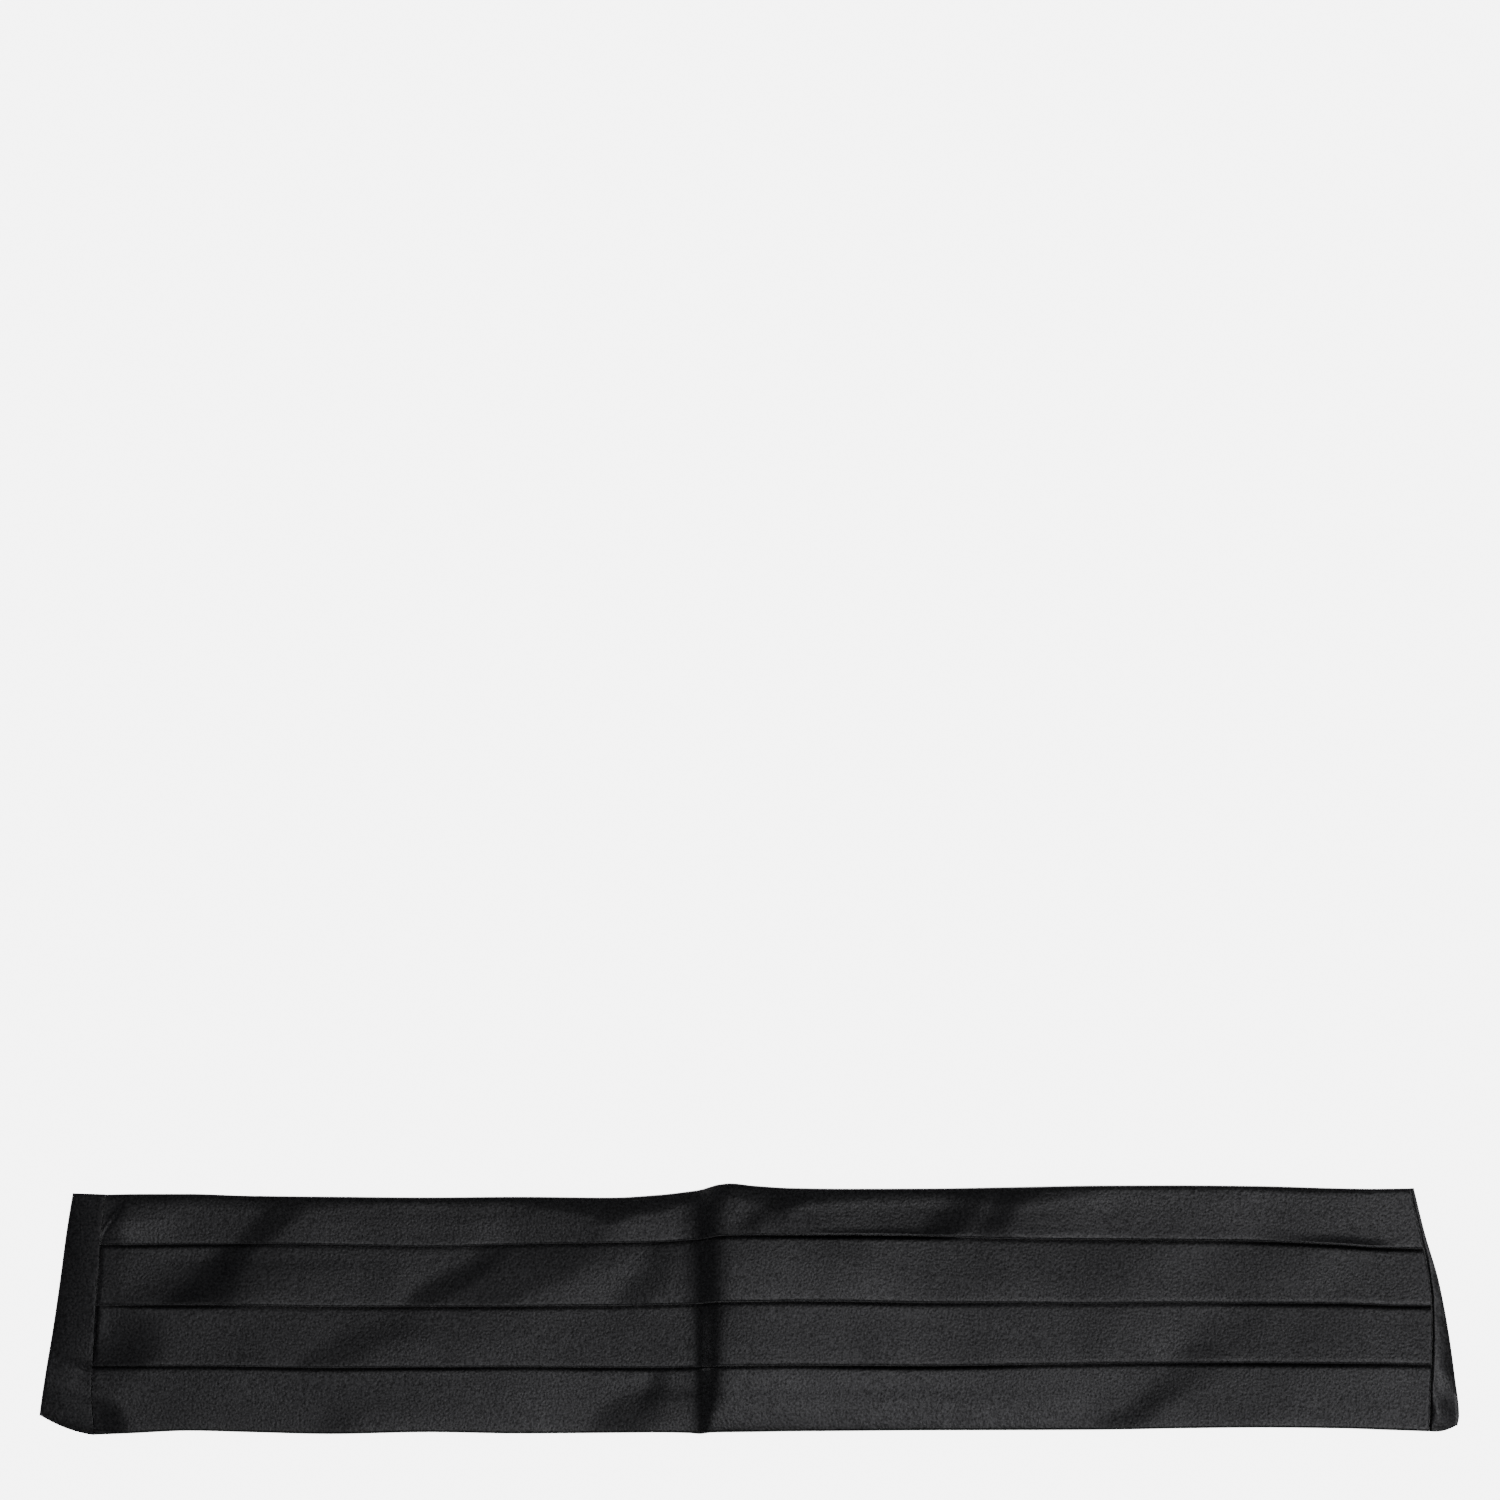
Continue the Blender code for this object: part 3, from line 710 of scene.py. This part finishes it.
def make_sheet(name: str, grid: Grid, wall: float, material: Material) -> Object:
    """Make thin cloth about a grid of points.

    Args:
        name: The piece's name.
        grid: Points in millimetres, by row, column and axis.
        wall: The cloth's thickness in millimetres.
        material: Its finish.

    Returns:
        The object, with its wall.
    """
    rows, columns = grid.shape[:2]
    numbers = np.arange(rows * columns).reshape(rows, columns)
    corners = (numbers[:-1, :-1], numbers[:-1, 1:], numbers[1:, 1:], numbers[1:, :-1])
    faces = np.stack([c.ravel() for c in corners], axis=1)
    thing = make_object(name, grid, faces.tolist(), material)
    cloth = thing.modifiers.new("wall", "SOLIDIFY")
    cloth.thickness = wall * MM
    cloth.offset = 0.0
    cloth.use_even_offset = False
    cloth.use_quality_normals = True
    return thing


# ---- The front ----


BANDS = 4
WAVER_PHASE = {Side.LEFT: 0.0, Side.RIGHT: 1.7}
WAVER_DEPTH, WAVER_LENGTH, WAVER_SWELL = 0.16, 2.1, 7.3
STITCH_DEPTH, STITCH_RATE = 0.05, 1.9
WARP_WAVES = Waves(21, 12, 16.0, 48.0)
BAND_WAVES = {band: Waves(40 + band, 18, 13.0, 70.0) for band in range(1, BANDS + 1)}


def seam_line(y: Grid, side: Side) -> Grid:
    """Where the middle of a seam lies along X: its drawn line, wavering a little."""
    phase = WAVER_PHASE[side]
    waver = WAVER_DEPTH * np.sin(y / WAVER_LENGTH + phase) * np.sin(y / WAVER_SWELL + 2 * phase)
    return curve(SEAMS, "y", side.value).at(y) + waver + STITCH_DEPTH * np.sin(y * STITCH_RATE + phase)


class Strand(NamedTuple):
    """A line of points along the front: place across, height, band (0 where hidden) and how far it is shown."""

    y: Grid
    z: Grid
    band: int = 0
    shown: float = 0.0


@dataclass
class PleatedFront:
    """The satin front: one cloth with three knife pleats, so it shows four bands."""

    bed: Bed
    wall: float = 0.36
    low: float = 0.2
    pleat_depth: float = 14.0
    hem: float = 7.5
    hem_step: float = 0.1
    fold_radius: float = 0.55
    inner_radius: float = 0.35
    edge_width: float = 0.42
    band_low: float = 1.0
    band_high: float = 2.75
    first_low: float = 1.5
    last_high: Curve = Curve(((-330, 2.2), (-110, 2.1), (0, 1.6), (150, 1.6), (205, 2.6), (340, 2.6)))
    climb_power: float = 1.4
    after_reach: float = 22.0
    curl_power: float = 1.5
    unevenness: float = 0.085
    ditch_width: dict = field(default_factory=lambda: {Side.LEFT: 1.3, Side.RIGHT: 0.6})
    middle_steps: int = 11
    fold_steps: int = 6
    inner_steps: int = 4
    way_in: tuple = (0.25, 0.5, 0.75)
    way_out: tuple = (0.3, 0.6, 0.88)
    way_rise: float = 0.05
    station: float = 3.3
    end_station: float = 1.3
    end_length: float = 20.0
    seam_stations: tuple = (0.0, 0.3, 0.6, 1.0, 1.5, 2.1, 2.9, 3.9, 5.2, 7.0)
    crease_span: Pair = (-10.0, 16.0)
    crease_station: float = 1.0
    below_fold: tuple = (0.0, 0.35, 0.75, 1.2, 1.7, 2.3, 3.2, 4.5, 6.0)
    below_edge: tuple = (1.3, 2.0, 2.8, 3.8, 5.0, 6.5)
    above_fold: tuple = (5.0, 3.8, 2.8, 2.0, 1.4)
    crevice: Curve = Curve(((0, -0.62), (0.5, -0.48), (1, -0.25), (1.5, -0.09), (2.3, 0), (3, 0)))
    roll: Curve = Curve(((0, -0.34), (0.6, -0.21), (1.2, -0.1), (1.8, -0.04), (2.8, 0), (3.8, 0)))
    last_roll: Curve = Curve(((0, -0.2), (0.6, -0.14), (1.4, -0.08), (2.4, -0.03), (3.8, 0)))
    edge_roll: Curve = Curve(((0, -0.4), (0.6, -0.28), (1.4, -0.12), (2.4, 0), (6.5, 0)))

    def between(self, start: float, end: float) -> Grid:
        """Even places between two others, without them."""
        return np.linspace(start, end, round((end - start) / self.station) + 1)[1:-1]

    def stations(self) -> Grid:
        """Places of the sections along X, closer at the seams and over the crease."""
        near = np.array(self.seam_stations)
        fine = np.arange(near[-1] + self.end_station, self.end_length, self.end_station)
        left = FIRST_X + np.concatenate([near, fine])
        right = LAST_X - near[::-1]
        crease = np.arange(*(CREASE_X + reach for reach in self.crease_span), self.crease_station)
        return np.concatenate([left, self.between(left[-1], crease[0]), crease, self.between(crease[-1], right[0]),
                               right])

    def band_strands(self, band: int, x: Grid, upper: Grid, lower: Grid) -> list[Strand]:
        """The shown cloth of one band, from the line above it to where its own fold or edge turns under.

        Args:
            band: Its number, counted from the upper edge.
            x: The places of the sections.
            upper: Where the line above it lies across each section.
            lower: Where its own fold or edge lies.

        Returns:
            Its strands, from the upper one down.
        """
        first, last = band == 1, band == BANDS
        inset = (self.edge_width if last else self.fold_radius) + self.wall / 2
        near = [upper - out for out in (self.below_edge if first else self.below_fold)]
        far = [lower + out for out in self.above_fold]
        shares = np.linspace(0.0, 1.0, self.middle_steps + 2)[1:-1]
        middle = [lerp(near[-1], far[0], share) for share in shares]
        start_z = self.first_low if first else self.band_low
        end_z = self.last_high.at(x) if last else self.band_high
        strands = []
        for y in near + middle + far + [lower + inset]:
            out, back = upper - y, y - lower
            z = lerp(start_z, end_z, out / (upper - lower))
            if first:
                reach = TOP_REACH.at(x)
                climb = 1.0 - np.clip(1.0 - out / reach, 0.0, 1.0) ** self.climb_power
                z = z + self.edge_roll.at(out) + TOP_RISE.at(x) * climb
                z = z + TOP_AFTER.at(x) * ramp((out - reach) / self.after_reach)
                curl = np.clip(1.0 - back / LIP_CURL_REACH.at(x), 0.0, 1.0) ** self.curl_power
                z = z + LIP_CURL.at(x) * curl
            else:
                z = z + self.crevice.at(out) * FURROWS[band - 1].at(x)
            z = z + (self.last_roll.at(back) if last else self.roll.at(back) * LIPS[band].at(x))
            strands.append(Strand(y, z, band, 1.0))
        return strands

    @staticmethod
    def turn(centre: Grid, radius: float, heights: tuple, band: int, angles: Grid) -> list[Strand]:
        """Cloth that turns about a line along the front, shown the more the higher it lies.

        Args:
            centre: Where the line lies across each section.
            radius: How far the cloth stands from it.
            heights: The lowest and the highest height.
            band: Its band, or 0 where it is hidden.
            angles: In degrees, with 90 at the top.

        Returns:
            Its strands.
        """
        strands = []
        for angle in np.radians(angles):
            share = (1 + math.sin(angle)) / 2
            strands.append(Strand(centre + radius * math.cos(angle), lerp(*heights, share), band,
                                  share if band else 0.0))
        return strands

    def strands(self, x: Grid) -> list[Strand]:
        """Every line of points along the cloth, from its upper raw edge to its lower one."""
        edges = [curve(SECTIONS, "x", key).at(x) for key in Section._fields[1:]]
        top = edges[0]
        first_z = self.band_strands(1, x, top, edges[1])[0].z - self.hem_step
        lines = [Strand(top - out, self.low) for out in (self.hem, self.hem / 2)]
        lines += self.turn(top - self.edge_width - self.wall / 2, self.edge_width, (self.low, first_z), 1,
                           np.linspace(-90, 90, self.fold_steps + 1))
        for band, (upper, lower) in enumerate(zip(edges, edges[1:]), start=1):
            lines += self.band_strands(band, x, upper, lower)
            last = band == BANDS
            radius = self.edge_width if last else self.fold_radius
            start_z = lines[-1].z
            under_z = self.low if last else start_z - 2 * self.fold_radius
            lines += self.turn(lower + radius + self.wall / 2, radius, (under_z, start_z), band,
                               np.linspace(90, 270, self.fold_steps + 1)[1:])
            if last:
                lines += [Strand(lower + out, self.low) for out in (self.hem / 2, self.hem)]
                continue
            under = lines[-1]
            inner = lower + self.pleat_depth - self.inner_radius - self.wall / 2
            inner_z = self.low + 2 * self.inner_radius
            lines += [Strand(lerp(under.y, inner, share), lerp(under.z, inner_z, share)) for share in self.way_in]
            lines += self.turn(inner, self.inner_radius, (self.low, inner_z), 0,
                               np.linspace(90, -90, self.inner_steps + 1))
            lines += [Strand(lerp(inner, lower, share), self.low + self.way_rise * share) for share in self.way_out]
        return lines

    @staticmethod
    def to_seams(x: Grid, y: Grid) -> Grid:
        """A section's places along X, bent to the slant of the nearer seam."""
        moved = x
        for side, end_x in ((Side.LEFT, FIRST_X), (Side.RIGHT, LAST_X)):
            shift = seam_line(y, side) - side.sign * SEAM_GAP / 2 - end_x
            moved = moved + shift * ease(1.0 - np.abs(x - end_x) / SEAM_REACH)
        return moved

    def detail(self, x: Grid, y: Grid, bands: Grid) -> Grid:
        """Wrinkles and slow unevenness of the shown cloth."""
        total = np.zeros(np.shape(x))
        warped = x + WARP * WARP_WAVES.at(x, y)
        for wrinkle in WRINKLES:
            total += np.where(np.isin(bands, wrinkle.bands), wrinkle.lift(warped, y), 0.0)
        for band, waves in BAND_WAVES.items():
            total += np.where(bands == band, self.unevenness * waves.at(x, y), 0.0)
        return total

    def grid(self) -> Grid:
        """All points of the cloth's middle, by section, line and axis."""
        stations = self.stations()
        lines = self.strands(stations)
        y = np.stack([line.y for line in lines], axis=1)
        z = np.stack([line.z + np.zeros_like(stations) for line in lines], axis=1)
        bands = np.broadcast_to([line.band for line in lines], y.shape)
        shown = np.broadcast_to([line.shown for line in lines], y.shape)
        places = np.broadcast_to(stations[:, None], y.shape)
        x = self.to_seams(places, y)
        lift = self.bed.lift(x, y)
        for side, to_seam in ((Side.LEFT, places - FIRST_X), (Side.RIGHT, LAST_X - places)):
            flat, kept, reach, ditch = (curve(SETTLES[side], "y", key).at(y)
                                        for key in ("flat", "lift", "reach", "ditch"))
            settled = ease(to_seam / reach)
            z = self.low + (z - self.low) * lerp(flat, 1.0, settled)
            lift = lift * lerp(kept, 1.0, settled)
            z = z - shown * ditch * hump(to_seam, self.ditch_width[side])
        z = z + lift + shown * self.detail(x, y, bands)
        return np.stack([x, y, z], axis=2)

    def build(self, material: Material) -> Object:
        """Make the front.

        Args:
            material: The satin.

        Returns:
            The piece.
        """
        piece = make_sheet("satin_front", self.grid(), self.wall, material)
        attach(piece, BODY)
        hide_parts("front_pleated")
        return piece


# ---- The end pieces ----


END_WAVES = {Side.LEFT: Waves(69, 12, 10.0, 34.0), Side.RIGHT: Waves(71, 12, 10.0, 34.0)}


@dataclass
class EndPiece:
    """A tapered satin end piece, folded under along a slanted line.

    full_width, ditch_from and uneven_from are how much of it shows where its seam stands at its full height, has
    its whole ditch and its whole unevenness.
    """

    measures: EndMeasures
    wall: float = 0.36
    low: float = 0.2
    fold_radius: float = 0.55
    bow_fade: int = 4
    sag_power: float = 1.6
    full_width: float = 12.0
    ditch: float = 0.0
    ditch_width: float = 0.8
    ditch_from: float = 3.0
    roll: float = 0.16
    roll_width: float = 2.0
    unevenness: float = 0.09
    uneven_from: float = 8.0
    uneven_reach: float = 4.0
    ribs: int = 90
    edge_ribs: tuple = (0.004, 0.008, 0.016)
    seam_steps: int = 2
    seam_step: float = 0.004
    shown_steps: int = 22
    crowding: float = 1.15
    fold_steps: int = 8
    hidden_steps: int = 26
    allowance: tuple = ((-12.5, 0.62), (-8.0, 0.62), (-3.0, 0.62), (-1.0, 0.64), (-0.3, 0.7), (-0.05, 0.85))
    allowance_trim: float = 0.045
    trim_reach: float = 3.0

    @staticmethod
    def column(x: Grid, y: Grid, z: Grid) -> Grid:
        """One line of points from rib to rib."""
        return np.stack([x, y, z + np.zeros_like(x)], axis=1)

    def grid(self) -> Grid:
        """All points of the cloth's middle, by rib, place along the rib and axis."""
        end = self.measures
        sign = end.side.sign
        edges = np.array(self.edge_ribs)
        share = np.sort(np.concatenate([np.linspace(0.0, 1.0, self.ribs), edges, 1.0 - edges]))
        seam_y = lerp(end.seam_low, end.seam_high, share)
        fold_y = lerp(end.fold_low, end.fold_high, share)
        seam_x = seam_line(seam_y, end.side) + sign * SEAM_GAP / 2
        inset = self.fold_radius + self.wall / 2
        fold_x = curve(END_FOLDS, "y", end.side.value).at(fold_y) - sign * inset
        fold_top = self.low + 2 * self.fold_radius
        width = np.abs(fold_x - seam_x)
        seam_z = lerp(fold_top, curve(SETTLES[end.side], "y", "end").at(seam_y), ease(width / self.full_width))
        middle_y = (end.seam_low + end.seam_high) / 2
        columns = []
        for out, z in self.allowance:
            trimmed = lerp(seam_y, middle_y, self.allowance_trim * min(1.0, -out / self.trim_reach))
            columns.append(self.column(seam_x + sign * out, trimmed, z))
        for k in range(-self.seam_steps, self.shown_steps):
            out = (k / self.shown_steps) ** self.crowding if k > 0 else (k + self.seam_steps) * self.seam_step
            x = lerp(seam_x, fold_x, out)
            y = lerp(seam_y, fold_y, out) - end.bow * 4 * out * (1 - out) * (1 - share) ** self.bow_fade
            away = np.abs(x - seam_x)
            ditch = self.ditch * hump(away, self.ditch_width) * ease(width / self.ditch_from)
            z = lerp(seam_z, fold_top, out ** self.sag_power) - ditch
            uneven = self.unevenness * ease(away / self.uneven_reach) * ease(width / self.uneven_from)
            columns.append(self.column(x, y, z + uneven * END_WAVES[end.side].at(x, y)))
        shown = len(columns) + 1
        for angle in np.radians(np.linspace(90, -90, self.fold_steps + 1)):
            columns.append(self.column(fold_x + sign * self.fold_radius * math.cos(angle), fold_y,
                                       self.low + self.fold_radius * (1 + math.sin(angle))))
        neck_x, neck_y = (lerp(low, high, share) for low, high in zip(*end.neck))
        for out in np.linspace(0.0, 1.0, self.hidden_steps + 1)[1:]:
            columns.append(self.column(lerp(fold_x, neck_x, out), lerp(fold_y, neck_y, out), self.low))
        grid = np.stack(columns, axis=1)
        to_edge = np.minimum(share, 1.0 - share)[:, None] * (end.seam_high - end.seam_low)
        grid[:, len(self.allowance):shown, 2] -= self.roll * hump(to_edge, self.roll_width)
        return grid

    def build(self, material: Material) -> Object:
        """Make the end piece.

        Args:
            material: The satin.

        Returns:
            The piece.
        """
        end = self.measures
        piece = make_sheet(f"satin_end_{end.side.value}", self.grid(), self.wall, material)
        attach(piece, BODY)
        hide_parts(f"end_panel_{end.side.value}")
        return piece


# ---- Straps and their metal ----


@dataclass
class BackStrap:
    """A short ribbed strap sewn to the narrow end of an end piece, flat beneath the front."""

    measures: EndMeasures
    thick: float = 1.2
    rib: float = 1.5
    rib_depth: float = 0.06
    rib_steps: int = 4
    edge_radius: float = 0.45
    edge_steps: int = 6
    flat_steps: int = 11
    end_share: float = 0.9

    def ring(self) -> list[Pair]:
        """The strap's outline across, with round edges: places across it and heights over its middle."""
        half_t, flat = self.thick / 2, self.measures.strap_width / 2 - self.edge_radius
        ring = []
        for side, start in ((1, -90), (-1, 90)):
            for angle in np.radians(np.linspace(start, start + 180, self.edge_steps + 1)):
                ring.append((side * flat + self.edge_radius * math.cos(angle), half_t * math.sin(angle)))
            for share in np.linspace(0, 1, self.flat_steps + 1)[1:-1]:
                ring.append((side * flat * (1 - 2 * share), side * half_t))
        return ring

    def build(self, material: Material) -> Object:
        """Make the strap as a ribbed closed band.

        Args:
            material: The webbing.

        Returns:
            The piece.
        """
        end = self.measures
        tip, along = end.strap_tip, end.along
        ring, half_t = self.ring(), self.thick / 2
        steps = self.rib_steps * round(end.strap_length / self.rib)
        count = len(ring)
        points, faces = [], []
        for row in range(steps + 1):
            reach = -end.strap_length * (1 - row / steps)
            dip = self.rib_depth * (0.5 - 0.5 * math.cos(2 * math.pi * reach / self.rib))
            share = (1.0 if 0 < row < steps else self.end_share) * (1 - dip / self.thick)
            points += [(tip[0] + along[0] * reach - along[1] * out, tip[1] + along[1] * reach + along[0] * out,
                        half_t + height * share) for out, height in ring]
        for row in range(steps):
            for k in range(count):
                a, b = row * count + k, row * count + (k + 1) % count
                faces.append((a, b, b + count, a + count))
        faces.append(tuple(range(count))[::-1])
        faces.append(tuple(range(steps * count, len(points))))
        piece = make_object(f"webbing_strap_{end.side.value}", np.array(points), faces, material)
        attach(piece, BODY)
        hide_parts(f"back_strap_{end.side.value}")
        return piece


@dataclass
class StrapMetal:
    """The flat hook and the bar plate, which keep their solids' shapes."""

    nodes: tuple[str, ...] = ("strap_hook", "strap_bar")

    def dress(self, frame: dict, material: Material) -> list[Object]:
        """Give both solids the metal finish.

        Args:
            material: The metal.

        Returns:
            The two solids.
        """
        solids = [frame["nodes"][name] for name in self.nodes]
        for solid in solids:
            for slot in solid.material_slots:
                slot.material = material
        return solids


# ---- The studio ----


@dataclass
class Studio:
    """Pale floor, soft lights and the camera straight above, in metres."""

    centre: Pair = (0.00025, 0.2794)
    height: float = 8.0
    frame_width: float = 0.75
    sensor: float = 36.0
    view_depth: float = 60.0
    lamp_colour: Triple = (0.965, 0.96, 1.0)
    key_place: Triple = (2.9, -1.2, 16.0)
    key_power: float = 422.0
    key_size: float = 2.4
    fill_places: tuple = ((3.2, 1.6, 1.6), (-3.2, 1.6, 1.6), (3.2, -1.9, 1.6), (-3.2, -1.9, 1.6))
    fill_power: float = 22.0
    rim_places: tuple = ((0.0, 3.6, 1.3), (0.0, -3.6, 1.3))
    rim_power: float = 12.0
    fill_size: float = 1.6
    world_light: float = 0.02
    floor_half: float = 12.0
    floor_drop: float = 0.0003
    floor_colour: tuple = (0.93, 0.93, 0.93, 1.0)
    floor_glow: float = 6.0

    def build(self) -> None:
        """Make the floor, the lights, the world and the camera."""
        self.floor()
        self.light("key", self.key_place, self.key_power, self.key_size)
        for kind, places, power in (("fill", self.fill_places, self.fill_power),
                                    ("rim", self.rim_places, self.rim_power)):
            for number, place in enumerate(places):
                self.light(f"{kind}_{number}", place, power, self.fill_size)
        world = bpy.data.worlds.new("studio")
        world.use_nodes = True
        fill(world.node_tree, world.node_tree.nodes["Background"],
             {"Color": (1.0, 1.0, 1.0, 1.0), "Strength": self.world_light})
        bpy.context.scene.world = world
        self.camera()

    def floor(self) -> None:
        """A wide pale floor just under the cloth."""
        half = self.floor_half
        mesh = bpy.data.meshes.new("floor")
        mesh.from_pydata([(x * half, y * half, -self.floor_drop) for x, y in ((-1, -1), (1, -1), (1, 1), (-1, 1))],
                         [], [(0, 1, 2, 3)])
        material, tree, shader = new_material("pale_floor")
        fill(tree, shader, {"Base Color": self.floor_colour, "Roughness": 1.0, "Specular IOR Level": 0.0,
                            "Emission Color": (1.0, 1.0, 1.0, 1.0), "Emission Strength": self.floor_glow})
        mesh.materials.append(material)
        put("floor", mesh)

    def light(self, name: str, place: Triple, power: float, size: float) -> None:
        """A square soft light that faces the object.

        Args:
            name: The light's name.
            place: Where it stands, in metres.
            power: Its power in watts.
            size: Its side in metres.
        """
        lamp = bpy.data.lights.new(name, "AREA")
        lamp.energy = power
        lamp.color = self.lamp_colour
        lamp.size = size
        thing = put(name, lamp)
        x, y, z = place
        thing.location = place
        thing.rotation_euler = (math.atan2(math.hypot(x, y), z), 0.0, math.atan2(y, x) + math.pi / 2)

    def camera(self) -> None:
        """A long lens straight above the middle of the picture."""
        data = bpy.data.cameras.new("camera")
        data.sensor_width = self.sensor
        data.lens = self.sensor * self.height / self.frame_width
        data.clip_end = self.view_depth
        thing = put("camera", data)
        thing.location = (*self.centre, self.height)
        bpy.context.scene.camera = thing


# ---- All together ----


def main() -> None:
    """Build every piece in order, dress it and report it."""
    logging.basicConfig(level=logging.INFO, format="%(message)s")
    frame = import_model()
    effects = Effects()
    satin = SATIN.material(effects)
    webbing = WEBBING.material(effects)
    pieces = [EndPiece(ENDS[Side.LEFT]).build(satin),
              EndPiece(ENDS[Side.RIGHT], ditch=0.35, ditch_width=0.6, unevenness=0.2).build(satin)]
    pieces += [BackStrap(ENDS[side]).build(webbing) for side in Side]
    pieces.append(PleatedFront(Bed()).build(satin))
    pieces += StrapMetal().dress(frame, MetalFinish().material(effects))
    for piece in pieces:
        LOG.info("%s: %d points", piece.name, len(piece.data.vertices))
    Studio().build()


if __name__ == "__main__":
    main()
